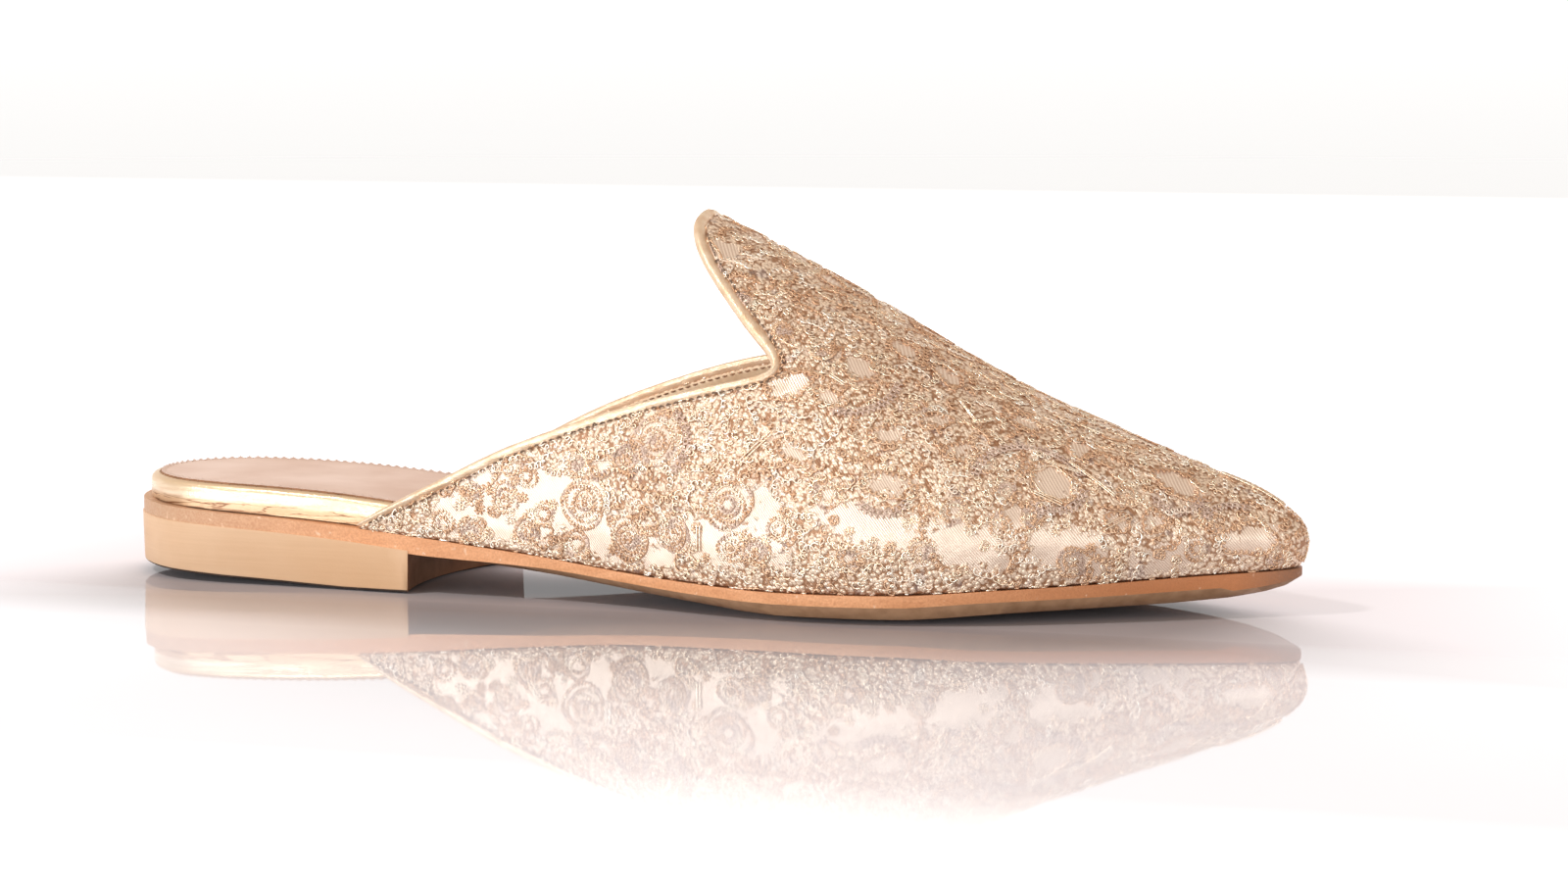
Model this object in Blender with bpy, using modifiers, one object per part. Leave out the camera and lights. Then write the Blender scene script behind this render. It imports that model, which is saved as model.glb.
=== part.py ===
"""Backless slipper (mule) with a pointed tongue, right shoe, one European size 38.

Run with: blender --background --python part.py
+X points to the toe, the outer side of the foot is -Y, +Z is up. The tables are in
millimetres; "station" is the distance from the back of the sole along the shoe.
"""

import math

import bmesh
import bpy
import numpy as np

MM = 0.001
OUTER = -1.0
INNER = 1.0


def table(columns, *rows):
    return np.array(list(rows), dtype=[(name, float) for name in columns.split()])


# Driving sizes, mm
LENGTH = 265.2
HEEL_RADIUS = 26.5
TOE_RADIUS = 6.0
TOE_SWING = 4.0  # how far the toe tip lies to the inner side of the heel's axis
GAP = 0.3  # between pieces that lie on each other
WALL = 1.8  # brocade, backing and lining together
FEATHER_INSET = 0.3  # foot of the upper, in from the edge of the sole
NOSE_START = 200.0  # from here to the toe the sections fan out round the nose
NOSE_DEPTH = 15.0
HEEL_FAN = 55.0
BEVEL_INSET = 3.0  # bevel under the edge of the forepart
CROWN_SHARE = 0.42  # where the tread turns flat, as a share of the half width
CROWN_RISE = 0.7
FOOTBED_INSET = table("station inset", (0, 1.8), (30, 1.7), (44, 1.8), (60, 2.5), (LENGTH, 2.5))
FOOTBED_EDGE = 1.3  # rounding of the wrapped edge
FOOTBED_THICK = table("station thick", (0, 5.0), (50, 5.8), (110, 5.0), (170, 3.4), (LENGTH, 2.6))
BREAST_STATION = 74.4  # outer corner of the heel block
BREAST_SLANT = 5.5  # how much further forward the inner corner lies
BREAST_HOLLOW = 5.2
HEEL_FLAT = 16.0  # length of the flat spot behind the breast
HEEL_LIFT = 2.2  # rise of the heel's underside at the back
HEEL_CHAMFER = 0.5
BINDING_HIGH = table("height high", (0, 1.7), (49, 1.7), (60, 2.6), (85, 2.4))
BINDING_PROUD = 0.4
BINDING_TAPER = 9.0  # length over which each end narrows to a point
BINDING_POINT = 0.3  # share of its size left at that point
WAIST_END = 150.0  # the tread is crowned in front of this
SHARP_ANGLE = 35.0

# Plan of the sole: half widths from the heel's axis, between the round heel and the round toe
PLAN = table(
    "station outer inner",
    (40, 27.0, 26.7),
    (54, 27.8, 26.6),
    (68, 28.8, 26.2),
    (82, 29.6, 25.8),
    (95, 30.0, 25.8),
    (107, 30.8, 26.4),
    (118, 32.5, 27.7),
    (130, 35.3, 29.9),
    (142, 38.5, 32.6),
    (154, 41.1, 35.2),
    (166, 42.4, 37.2),
    (178, 42.2, 38.1),
    (190, 40.2, 37.6),
    (202, 36.4, 35.8),
    (214, 31.0, 32.8),
    (226, 24.4, 28.4),
    (237, 17.5, 23.7),
    (247, 11.2, 18.4),
    (255.5, 5.8, 13.6),
)

# Heights over the floor: top of the sole, foot of its upright edge, and the tread
SOLE = table(
    "station top edge tread",
    (0, 16.6, 12.7, 12.7),
    (22, 15.7, 11.8, 11.8),
    (46, 14.6, 10.7, 10.7),
    (60, 13.7, 9.8, 9.8),
    (78, 12.2, 8.3, 8.3),
    (92, 10.8, 7.7, 6.8),
    (107, 9.4, 7.0, 5.2),
    (118, 8.2, 6.1, 3.9),
    (130, 7.2, 5.1, 2.6),
    (146, 6.4, 4.1, 1.2),
    (162, 5.9, 3.5, 0.0),
    (188, 6.1, 3.6, 0.0),
    (206, 7.1, 4.7, 1.0),
    (225, 7.9, 5.3, 2.2),
    (246, 8.9, 6.1, 3.5),
    (LENGTH, 9.6, 6.9, 5.0),
)

# Sections of the last with the upper on it. Behind the tongue only their lower part is used.
UPPER = table(
    "station ridge offset side bulge power",
    (50, 124.0, 3.0, 12.0, 0.5, 1.9),
    (95, 102.0, 4.5, 12.0, 0.9, 1.7),
    (134, 82.2, 5.5, 12.0, 1.3, 1.6),
    (150, 74.4, 5.5, 11.5, 1.5, 1.6),
    (168, 65.1, 5.2, 11.0, 1.6, 1.6),
    (184, 56.1, 4.8, 10.5, 1.6, 1.65),
    (195, 50.1, 4.5, 10.0, 1.6, 1.7),
    (208, 43.9, 4.2, 9.0, 1.5, 1.7),
    (225, 37.2, 4.0, 8.0, 1.4, 1.7),
    (240, 31.7, 4.0, 7.0, 1.3, 1.7),
    (251, 27.7, 4.0, 6.5, 1.3, 1.9),
    (258, 25.8, 4.0, 6.0, 1.4, 2.0),
    (LENGTH, 24.0, 4.0, 6.0, 1.5, 2.0),
)

# Edge of the upper, from the sole at the back over the notch to the tip of the tongue
OUTER_EDGE = table(
    "station height",
    (66, 13.9),
    (74, 18.0),
    (83.5, 23.3),
    (94.9, 29.5),
    (106, 34.0),
    (117, 38.0),
    (128, 41.6),
    (139, 44.6),
    (148.5, 47.0),
    (155.6, 48.7),
    (159.2, 50.6),
    (159.5, 53.4),
    (157.2, 56.6),
    (152.5, 60.8),
    (147, 66.0),
    (141.6, 71.2),
    (137.2, 76.0),
    (134.8, 79.7),
    (134, 82.0),
)
INNER_EDGE = table(
    "station height",
    (66, 13.9),
    (74, 19.0),
    (83.5, 25.6),
    (94.5, 31.8),
    (105.5, 36.8),
    (116, 40.8),
    (126.5, 44.3),
    (136.5, 46.9),
    (145.5, 48.4),
    (152, 49.4),
    (155.6, 51.2),
    (156.2, 53.9),
    (154.6, 57.2),
    (150.8, 61.6),
    (146.2, 66.4),
    (141.2, 71.9),
    (137.2, 76.6),
    (134.8, 80.0),
    (134, 82.0),
)

PLAN_STEPS = 60
PLAN_CROWDING = 0.1  # draws the steps together round the heel and the toe
OUTLINE_READINGS = 400
EDGE_STEPS = 28
LENGTH_STEPS = 24
NOSE_CROWDING = 1.45
SECTION_POINTS = 40
BINDING_SIDES = 8
CUTTER_SIDES = 160
CUTTER_HIGH = 60.0
SLOPE_STEP = 0.01  # mm along the outline
GIRTH_STEP = 0.02  # share of the girth


def hermite(at, places, values, slopes):
    """Cubic curve through values at places, with the given slopes there."""
    span = np.clip(np.searchsorted(places, at, side="right") - 1, 0, len(places) - 2)
    width = places[span + 1] - places[span]
    f = (at - places[span]) / width
    start = values[span] * (1 + 2 * f) * (1 - f) ** 2 + slopes[span] * width * f * (1 - f) ** 2
    end = values[span + 1] * f**2 * (3 - 2 * f) - slopes[span + 1] * width * f**2 * (1 - f)
    return start + end


def along(rows, column, at):
    """Smooth reading of a table's column, with no overshoot where the column runs level."""
    places = rows[rows.dtype.names[0]]
    values = rows[column]
    rates = np.diff(values) / np.diff(places)
    slopes = np.concatenate([rates[:1], np.zeros(len(rates) - 1), rates[-1:]])
    before = rates[:-1]
    after = rates[1:]
    same = before * after > 0
    slopes[1:-1][same] = 2 * before[same] * after[same] / (before[same] + after[same])
    return hermite(np.clip(at, places[0], places[-1]), places, values, slopes)


def plan_rows():
    """Rows of (station, outer, inner) from the back of the heel to the toe tip."""
    heel = [
        (
            HEEL_RADIUS * (1 - math.cos(turn)),
            HEEL_RADIUS * math.sin(turn),
            HEEL_RADIUS * math.sin(turn),
        )
        for turn in np.radians((0, 30, 60, 90))
    ]
    toe_centre = LENGTH - TOE_RADIUS
    toe = [
        (
            toe_centre + TOE_RADIUS * math.sin(turn),
            TOE_RADIUS * math.cos(turn) - TOE_SWING,
            TOE_RADIUS * math.cos(turn) + TOE_SWING,
        )
        for turn in np.radians((36, 62, 90))
    ]
    return np.array(heel + [tuple(row) for row in PLAN] + toe)


def mirrored(row):
    """The row that carries the outline round over the axis, so that it closes without a corner."""
    return np.array([row[0], -row[2], -row[1]])


PLAN_ROWS = plan_rows()
ROUND_ROWS = np.vstack([mirrored(PLAN_ROWS[1]), PLAN_ROWS, mirrored(PLAN_ROWS[-2])])
STEPS_OUT = np.hypot(np.diff(ROUND_ROWS[:, 0]), np.diff(ROUND_ROWS[:, 1:].mean(axis=1)))
ROUND_PLACES = np.concatenate([[0.0], np.cumsum(STEPS_OUT)])
BACK = ROUND_PLACES[1]
TIP = ROUND_PLACES[-2]
ROUND_SLOPES = np.gradient(ROUND_ROWS, ROUND_PLACES, axis=0)


def plan_point(side, place, inset=0.0):
    """(x, y) on the sole's outline, drawn in square to it."""
    column = 1 if side == OUTER else 2
    point = np.empty(2)
    heading = np.empty(2)
    for axis, index, sign in ((0, 0, 1.0), (1, column, side)):
        values = ROUND_ROWS[:, index]
        slopes = ROUND_SLOPES[:, index]
        point[axis] = sign * hermite(place, ROUND_PLACES, values, slopes)
        ahead = hermite(place + SLOPE_STEP, ROUND_PLACES, values, slopes)
        behind = hermite(place - SLOPE_STEP, ROUND_PLACES, values, slopes)
        heading[axis] = sign * (ahead - behind)
    heading /= np.linalg.norm(heading)
    inward = side * np.array([heading[1], -heading[0]])
    return point + inset * inward


def place_at(station):
    """Place along the outline where it reaches a station."""
    places = np.linspace(BACK, TIP, OUTLINE_READINGS)
    stations = [plan_point(OUTER, place)[0] for place in places]
    return float(np.interp(station, stations, places))


def plan_places():
    """Places of the corners of the sole's outline."""
    share = np.linspace(0, 1, PLAN_STEPS + 1)
    return BACK + (TIP - BACK) * (share - PLAN_CROWDING * np.sin(2 * math.pi * share))


def spine(place):
    """Station on the middle line that the section at this place springs from."""
    station = plan_point(OUTER, place)[0]
    nose = max(0.0, (station - NOSE_START) / (LENGTH - NOSE_START))
    heel = max(0.0, (HEEL_FAN - station) / HEEL_FAN)
    return station - NOSE_DEPTH * nose**2 + HEEL_RADIUS * heel**2


def half_section(side, place):
    """Half of the upper's outer face: points from the sole to the ridge, and their shares of its girth."""
    foot = plan_point(side, place, FEATHER_INSET)
    crest_station = spine(place)
    crest = np.array([crest_station, along(UPPER, "offset", crest_station)])
    reach = np.linalg.norm(foot - crest)
    outward = (foot - crest) / reach
    low = along(SOLE, "top", foot[0]) + GAP
    rise = along(UPPER, "side", foot[0])
    bulge = along(UPPER, "bulge", foot[0])
    power = along(UPPER, "power", crest_station)
    climb = np.linspace(0, 1, SECTION_POINTS // 4, endpoint=False)
    turn = np.linspace(0, math.pi / 2, SECTION_POINTS)
    out = np.concatenate([reach + bulge * (1 - (1 - climb) ** 2), (reach + bulge) * np.cos(turn)])
    flat = crest + out[:, None] * outward
    widest = low + rise
    ridge = along(UPPER, "ridge", flat[-SECTION_POINTS:, 0])
    up = np.concatenate([low + rise * climb, widest + (ridge - widest) * np.sin(turn) ** (2 / power)])
    points = np.column_stack([flat, up])
    steps = np.linalg.norm(np.diff(points, axis=0), axis=1)
    share = np.concatenate([[0.0], np.cumsum(steps)])
    return points, share / share[-1]


def skin_point(side, place, share):
    """Point on the upper's outer face."""
    points, shares = half_section(side, place)
    return np.array([np.interp(share, shares, points[:, axis]) for axis in range(3)])


def skin_normal(side, place, share):
    """Outward normal of the upper's outer face."""
    low = max(share - GIRTH_STEP, 0.0)
    high = min(share + GIRTH_STEP, 1.0)
    place = min(place, TIP - 1.0)
    along_shoe = skin_point(side, place + 1.0, share) - skin_point(side, place - 1.0, share)
    up_side = skin_point(side, place, high) - skin_point(side, place, low)
    normal = np.cross(along_shoe, up_side) * -side
    return normal / np.linalg.norm(normal)


def edge_line(side, edge):
    """Places and girth shares along the upper's edge, from the sole to the tongue tip."""
    rows = np.arange(len(edge), dtype=float)
    at = np.linspace(0, rows[-1], EDGE_STEPS + 1)
    stations = hermite(at, rows, edge["station"], np.gradient(edge["station"]))
    heights = hermite(at, rows, edge["height"], np.gradient(edge["height"]))
    line = []
    for station, height in zip(stations, heights):
        place = place_at(station)
        points, shares = half_section(side, place)
        line.append((place, float(np.interp(height, points[:, 2], shares))))
    line[0] = (line[0][0], 0.0)
    line[-1] = (line[-1][0], 1.0)
    return line


def collection_named(name):
    made = bpy.data.collections.new(name)
    bpy.context.scene.collection.children.link(made)
    return made


def material_named(name, colour, roughness, metallic=0.0):
    made = bpy.data.materials.new(name)
    made.use_nodes = True
    shader = made.node_tree.nodes["Principled BSDF"]
    shader.inputs["Base Color"].default_value = (*colour, 1.0)
    shader.inputs["Roughness"].default_value = roughness
    shader.inputs["Metallic"].default_value = metallic
    return made


def object_from(name, vertices, faces, collection, material):
    """Mesh object from points in millimetres."""
    mesh = bpy.data.meshes.new(name)
    bm = bmesh.new()
    corners = [bm.verts.new(np.asarray(vertex) * MM) for vertex in vertices]
    for face in faces:
        bm.faces.new([corners[index] for index in face])
    bmesh.ops.remove_doubles(bm, verts=bm.verts, dist=1e-6)
    bm.to_mesh(mesh)
    bm.free()
    made = bpy.data.objects.new(name, mesh)
    mesh.materials.append(material)
    mesh.shade_smooth()
    mesh.set_sharp_from_angle(angle=math.radians(SHARP_ANGLE))
    collection.objects.link(made)
    return made


def ring_around(places, height, inset, drawn_in=0.0):
    """Ring of points round the sole's plan: outer side forward, then inner side back."""
    front = len(places) - 1 if places[-1] < TIP else len(places) - 2
    ring = []
    for side, run in ((OUTER, places), (INNER, places[front:0:-1])):
        for place in run:
            outer_rim = plan_point(OUTER, place)
            inner_rim = plan_point(INNER, place)
            station = outer_rim[0]
            middle = np.array([spine(place), (outer_rim[1] + inner_rim[1]) / 2])
            point = plan_point(side, place, inset(station))
            point = point + drawn_in * (middle - point)
            ring.append((point[0], point[1], height(station)))
    return ring


def slab(name, rings, collection, material):
    """Closed body from rings, top ring first; each cap is strips straight across the shoe."""
    count = len(rings[0])
    half = count // 2
    vertices = [point for ring in rings for point in ring]
    faces = []
    for level in range(len(rings) - 1):
        upper = level * count
        lower = upper + count
        for index in range(count):
            after = (index + 1) % count
            faces.append((upper + index, lower + index, lower + after, upper + after))
    last = (len(rings) - 1) * count
    for index in range(half):
        strip = [index, index + 1]
        if count - index - 1 > index + 1:
            strip.append(count - index - 1)
        if index > 0:
            strip.append(count - index)
        faces.append(tuple(strip))
        faces.append(tuple(last + corner for corner in reversed(strip)))
    return object_from(name, vertices, faces, collection, material)


def sole_top(station):
    return along(SOLE, "top", station)


def sole_edge(station):
    return along(SOLE, "edge", station)


def sole_tread(station):
    return along(SOLE, "tread", station)


def flush(station):
    return 0.0


def bevel_inset(station):
    return BEVEL_INSET


def bevel_foot(station):
    """Where the bevel meets the crowned tread; behind the waist there is no crown."""
    share = np.clip((station - BREAST_STATION) / (WAIST_END - BREAST_STATION), 0, 1)
    return sole_tread(station) + CROWN_RISE * share


def make_outsole(collection):
    places = plan_places()
    rings = [
        ring_around(places, sole_top, flush),
        ring_around(places, sole_edge, flush),
        ring_around(places, bevel_foot, bevel_inset),
        ring_around(places, sole_tread, flush, CROWN_SHARE),
    ]
    leather = material_named("sole_leather", (0.62, 0.33, 0.17), 0.45)
    return slab("outsole", rings, collection, leather)


def footbed_inset(station):
    return along(FOOTBED_INSET, "inset", station)


def footbed_foot(station):
    return sole_top(station) + GAP


def footbed_top(station):
    return footbed_foot(station) + along(FOOTBED_THICK, "thick", station)


def make_footbed(collection):
    places = plan_places()
    rings = []
    for turn in np.radians((90, 60, 30, 0)):
        drop = FOOTBED_EDGE * (1 - math.sin(turn))
        draw = FOOTBED_EDGE * (1 - math.cos(turn))
        rings.append(
            ring_around(
                places,
                lambda station, drop=drop: footbed_top(station) - drop,
                lambda station, draw=draw: footbed_inset(station) + draw,
            )
        )
    rings.append(ring_around(places, footbed_foot, footbed_inset))
    gold = material_named("gold_leather", (0.86, 0.70, 0.47), 0.3, 0.6)
    return slab("footbed", rings, collection, gold)


def heel_underside(station):
    """Flat beside the breast, then a gentle rise to the back."""
    flat_from = BREAST_STATION - HEEL_FLAT
    return HEEL_LIFT * max(0.0, (flat_from - station) / flat_from)


def heel_chamfer_top(station):
    return heel_underside(station) + HEEL_CHAMFER


def heel_chamfer(station):
    return HEEL_CHAMFER


def heel_seat(station):
    return sole_edge(station) - GAP


def make_heel(collection, cutters):
    places = np.linspace(BACK, place_at(BREAST_STATION + 3 * BREAST_SLANT), PLAN_STEPS // 2)
    rings = [
        ring_around(places, heel_seat, flush),
        ring_around(places, heel_chamfer_top, flush),
        ring_around(places, heel_underside, heel_chamfer),
    ]
    stack = material_named("heel_stack", (0.76, 0.50, 0.30), 0.5)
    heel = slab("heel", rings, collection, stack)
    outer_corner = plan_point(OUTER, place_at(BREAST_STATION))
    inner_corner = plan_point(INNER, place_at(BREAST_STATION + BREAST_SLANT))
    chord = inner_corner - outer_corner
    half_chord = np.linalg.norm(chord) / 2
    radius = half_chord**2 / (2 * BREAST_HOLLOW) + BREAST_HOLLOW / 2
    forward = np.array([chord[1], -chord[0]]) / (2 * half_chord)
    centre = (outer_corner + inner_corner) / 2 + forward * (radius - BREAST_HOLLOW)
    bpy.ops.mesh.primitive_cylinder_add(
        vertices=CUTTER_SIDES,
        radius=radius * MM,
        depth=CUTTER_HIGH * MM,
        location=(centre[0] * MM, centre[1] * MM, 0.0),
    )
    cutter = bpy.context.object
    cutter.name = "breast_cutter"
    for owner in list(cutter.users_collection):
        owner.objects.unlink(cutter)
    cutters.objects.link(cutter)
    cutter.hide_render = True
    cutter.display_type = "WIRE"
    hollow = heel.modifiers.new("breast", "BOOLEAN")
    hollow.operation = "DIFFERENCE"
    hollow.solver = "EXACT"
    hollow.object = cutter
    return heel


def make_upper(collection):
    """Hollow shell: lengthwise lines run from the topline to the nose, where the two sides join."""
    outer_line = edge_line(OUTER, OUTER_EDGE)
    inner_line = edge_line(INNER, INNER_EDGE)
    lines = [(OUTER, place, share, even / EDGE_STEPS) for even, (place, share) in enumerate(outer_line)]
    lines += [
        (INNER, place, share, even / EDGE_STEPS)
        for even, (place, share) in reversed(list(enumerate(inner_line[:-1])))
    ]
    vertices = []
    for side, place, share, even_share in lines:
        for run in np.linspace(0, 1, LENGTH_STEPS + 1):
            there = TIP - (TIP - place) * (1 - run) ** NOSE_CROWDING
            vertices.append(skin_point(side, there, share + (even_share - share) * run))
    row = LENGTH_STEPS + 1
    faces = [
        (line * row + step, line * row + step + 1, (line + 1) * row + step + 1, (line + 1) * row + step)
        for line in range(len(lines) - 1)
        for step in range(LENGTH_STEPS)
    ]
    brocade = material_named("brocade", (0.80, 0.60, 0.42), 0.4, 0.3)
    upper = object_from("upper", vertices, faces, collection, brocade)
    wall = upper.modifiers.new("wall", "SOLIDIFY")
    wall.thickness = WALL * MM
    wall.offset = -1.0
    wall.use_even_offset = True
    wall.use_rim = True
    return upper


def make_binding(collection):
    """Folded strip along the whole topline, from one back corner over the tongue to the other."""
    run = [(OUTER, place, share) for place, share in edge_line(OUTER, OUTER_EDGE)]
    run += [(INNER, place, share) for place, share in reversed(edge_line(INNER, INNER_EDGE)[:-1])]
    path = np.array([skin_point(*spot) for spot in run])
    lengths = np.concatenate([[0.0], np.cumsum(np.linalg.norm(np.diff(path, axis=0), axis=1))])
    to_end = np.minimum(lengths, lengths[-1] - lengths)
    headings = np.gradient(path, axis=0)
    half_wide = (WALL + BINDING_PROUD) / 2
    vertices = []
    for spot, point, heading, distance in zip(run, path, headings, to_end):
        heading = heading / np.linalg.norm(heading)
        normal = skin_normal(*spot)
        away = np.cross(normal, heading)
        away /= np.linalg.norm(away)
        size = np.clip(distance / BINDING_TAPER, BINDING_POINT, 1.0)
        half_high = along(BINDING_HIGH, "high", point[2]) / 2
        centre = point + away * (GAP + half_high * size) - normal * (half_wide - BINDING_PROUD)
        for side in range(BINDING_SIDES):
            turn = (side + 0.5) * 2 * math.pi / BINDING_SIDES
            reach = size / math.cos(math.pi / BINDING_SIDES)
            corner = centre + away * (half_high * reach * math.sin(turn))
            corner = corner + normal * (half_wide * reach * math.cos(turn))
            corner[2] = max(corner[2], sole_top(corner[0]) + GAP)
            vertices.append(corner)
    faces = []
    for ring in range(len(path) - 1):
        for side in range(BINDING_SIDES):
            after = (side + 1) % BINDING_SIDES
            first = ring * BINDING_SIDES
            following = first + BINDING_SIDES
            faces.append((first + after, first + side, following + side, following + after))
    faces.append(tuple(range(BINDING_SIDES)))
    faces.append(tuple(reversed(range(len(vertices) - BINDING_SIDES, len(vertices)))))
    gold = material_named("binding_leather", (0.90, 0.78, 0.56), 0.3, 0.5)
    return object_from("topline_binding", vertices, faces, collection, gold)


def stand_on_origin(parts, holder):
    """Moves the shoe so that the middle of its box is over the origin and it stands on z = 0."""
    bpy.context.view_layer.update()
    graph = bpy.context.evaluated_depsgraph_get()
    corners = []
    for part in parts:
        evaluated = part.evaluated_get(graph)
        mesh = evaluated.to_mesh()
        corners += [tuple(evaluated.matrix_world @ vertex.co) for vertex in mesh.vertices]
        evaluated.to_mesh_clear()
    corners = np.array(corners)
    low = corners.min(axis=0)
    high = corners.max(axis=0)
    holder.location = (-(low[0] + high[0]) / 2, -(low[1] + high[1]) / 2, -low[2])


def main():
    for old in list(bpy.data.objects):
        bpy.data.objects.remove(old, do_unlink=True)
    mule = collection_named("mule")
    cutters = collection_named("cutters")
    holder = bpy.data.objects.new("mule_origin", None)
    mule.objects.link(holder)
    parts = [
        make_outsole(mule),
        make_heel(mule, cutters),
        make_footbed(mule),
        make_upper(mule),
        make_binding(mule),
    ]
    for part in parts + list(cutters.objects):
        part.parent = holder
    stand_on_origin(parts, holder)


main()
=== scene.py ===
"""Looks of a right-foot slipper: corded brocade upper, gold-wrapped footbed, leather sole and heel.

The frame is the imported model's: +X to the toe, the outer side of the foot at -Y, +Z up. Sizes named up
here and in the tables are in millimetres and degrees, apart from the camera's, which are in metres.
Places along the shoe and sizes in the materials' own nodes are in metres.
"""

import math

import bmesh
import bpy
import numpy as np
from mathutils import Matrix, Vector
from mathutils.bvhtree import BVHTree


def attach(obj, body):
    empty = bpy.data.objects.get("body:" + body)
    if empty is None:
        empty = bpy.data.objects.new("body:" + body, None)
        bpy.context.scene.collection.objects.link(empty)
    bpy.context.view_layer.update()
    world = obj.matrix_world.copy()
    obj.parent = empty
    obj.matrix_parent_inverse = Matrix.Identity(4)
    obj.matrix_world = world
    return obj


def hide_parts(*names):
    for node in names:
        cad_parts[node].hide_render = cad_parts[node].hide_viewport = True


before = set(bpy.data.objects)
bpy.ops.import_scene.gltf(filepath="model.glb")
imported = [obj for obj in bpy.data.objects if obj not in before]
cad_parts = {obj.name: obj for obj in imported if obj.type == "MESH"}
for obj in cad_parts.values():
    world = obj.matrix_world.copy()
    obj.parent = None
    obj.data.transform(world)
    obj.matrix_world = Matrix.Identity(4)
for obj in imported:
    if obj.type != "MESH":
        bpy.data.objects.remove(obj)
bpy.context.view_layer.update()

MM = 0.001
OUTER = -1.0
INNER = 1.0
SIDES = (OUTER, INNER)
CHANCE = np.random.default_rng(38)


def table(columns, *rows):
    return np.array(list(rows), dtype=[(name, float) for name in columns.split()])


# Camera, in metres, with how far it looks down and how far round it stands
EYE = (0.3133, -0.9065, 0.1434)
EYE_DOWN = 6.6
EYE_ROUND = 18.0
LENS = 101.25

# Brightness of the white surroundings at eye level and overhead
SKY_BACK = 1.1
SKY_FRONT = 0.22
SKY_OVERHEAD = 0.55
COOL = (0.85, 0.945, 1.0)
SKY_TINT = (1.0, 0.86, 0.715, 1.0)

# Merging and shading of copied pieces
MERGE = 1e-6
SHARP = math.radians(38)

# Place and size of the two lights behind the shoe, in metres
BEHIND = (-0.1, 1.3, 0.5)
WIDE = (2.4, 0.5)

# Floor: its pale grey, its darker grey painted under the shoe as its shadow, and how far below the sole it
# lies
WHITE = (1.0, 1.0, 1.0, 1.0)
FLOOR_GREY = (0.585, 0.56, 0.585, 1.0)
FLOOR_PAINTED_SHADE = (0.42, 0.37, 0.375, 1.0)
FLOOR_DOWN = 0.3

# How nearly flat two triangles are, and how nearly square, before they are joined in one face
FACE_JOIN = math.radians(40)
SHAPE_JOIN = math.radians(60)

# Which way a face or corner looks: share of its normal that points down, forward, up or outward
TREAD_DOWN = 0.9
BEVEL_DOWN = 0.25
TOE_DROP_DOWN = 0.5
BREAST_FORWARD = 0.6
BREAST_DEPTH = 20.0
HEEL_FLAT = 0.7
SEAT_RIM = 0.1
FOOTBED_FLAT = 0.95

# Bare satin left open in the embroidery
ISLANDS = table(
    "ahead up long wide tilt",
    (-41.6, 26.2, 9.7, 4.4, 25), (-32.5, 29.3, 5.5, 2.4, 20), (-50, 19, 4, 4.5, 0),
    (-35.7, 14.5, 5, 4.6, 0), (-24, 25, 7, 5.2, 0), (-24.4, 18, 4, 5.4, 0), (-26.4, 14.3, 4, 4, 0),
    (-12.6, 14.8, 6.6, 6.4, 0), (-12, 30.3, 4.4, 3.4, 0), (0.8, 12, 8.7, 5.2, 0), (15.5, 16.5, 7, 7.4, -20),
    (26, 24.6, 5.5, 7.5, 0), (30.5, 14.2, 5.2, 5.6, 0), (29, 48.4, 9.3, 5.1, 30), (32.6, 35.2, 8, 2.6, -35),
    (53.4, 29, 10.2, 4.2, -5), (51, 21.5, 13.4, 4.6, -18), (51.5, 39, 6.5, 3.6, 20), (59.6, 41.3, 6, 3, 30),
    (66, 35.5, 6, 3.2, 30), (65.6, 19.8, 8, 3.6, -10), (68, 15.4, 6, 3.4, -20), (79, 22.7, 6, 5.6, 0),
    (84.7, 29, 10, 8, -25), (85.4, 16.3, 8, 7, -30), (90.6, 17.8, 6.6, 3.4, 20), (76, 40, 6, 4, 0),
    (87.8, 35, 5, 5, 0), (107.5, 27.8, 9, 6, -10), (104.6, 20.8, 3.4, 4, 0), (104, 11.6, 4.6, 2.6, 0),
    (95, 11.5, 4.6, 3, 0), (116, 20, 3, 2.6, 0), (123, 16.6, 11, 5.8, 8), (98, 21, 4, 3, 0),
    (3.4, 75, 7.4, 6.6, 0), (41.7, 52, 8, 5.6, -40), (28.5, 68, 7, 4, -30), (51, 59, 7.6, 4.4, -30),
    (60, 52.5, 7.4, 4, -35), (38, 46, 6, 3, -20),
)

# Wider satin that only rosettes are worked on
CLEARINGS = table(
    "ahead up long wide tilt",
    (-33, 20.5, 38, 14, 9), (-8, 15.5, 26, 10, 0), (15, 16, 22, 10, -5), (29, 20, 9, 14, 10),
    (51, 20.5, 24, 8, -14), (69, 17, 18, 9, -12), (88, 16, 16, 9, -8), (108, 13, 14, 5, 0),
)

# Rosettes of couched cord
ROSETTES = table(
    "ahead up radius",
    (-35, 22, 3.2), (-43, 22.5, 2.4), (-50, 16, 2.4), (-30, 27, 2.4), (-26, 19, 2.6), (-16, 22, 5.4),
    (-5, 15, 4.6), (6, 17, 4.0), (-30, 15, 3.0), (-43, 14.5, 3.2), (-18, 13, 2.8), (1, 36, 5.8),
    (20, 15, 3.0), (26, 14.5, 2.8), (19, 24, 5.2), (31, 19.5, 2.5), (46, 14, 2.6), (61, 16, 2.6),
    (67, 24, 2.6), (90, 13, 3.2), (76, 21, 2.4), (82, 22, 2.4), (76, 28, 2.2), (79, 32, 2.2),
    (113, 15, 2.5), (114, 22, 2.3), (99, 26, 2.4), (-6, 32, 3.6), (-18, 30, 2.8), (41, 27, 2.8),
    (71, 33, 2.2), (25, 59, 2.3), (15, 65, 2.3), (34, 55, 2.4), (55, 44, 2.4), (128, 13, 2.0),
)

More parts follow.
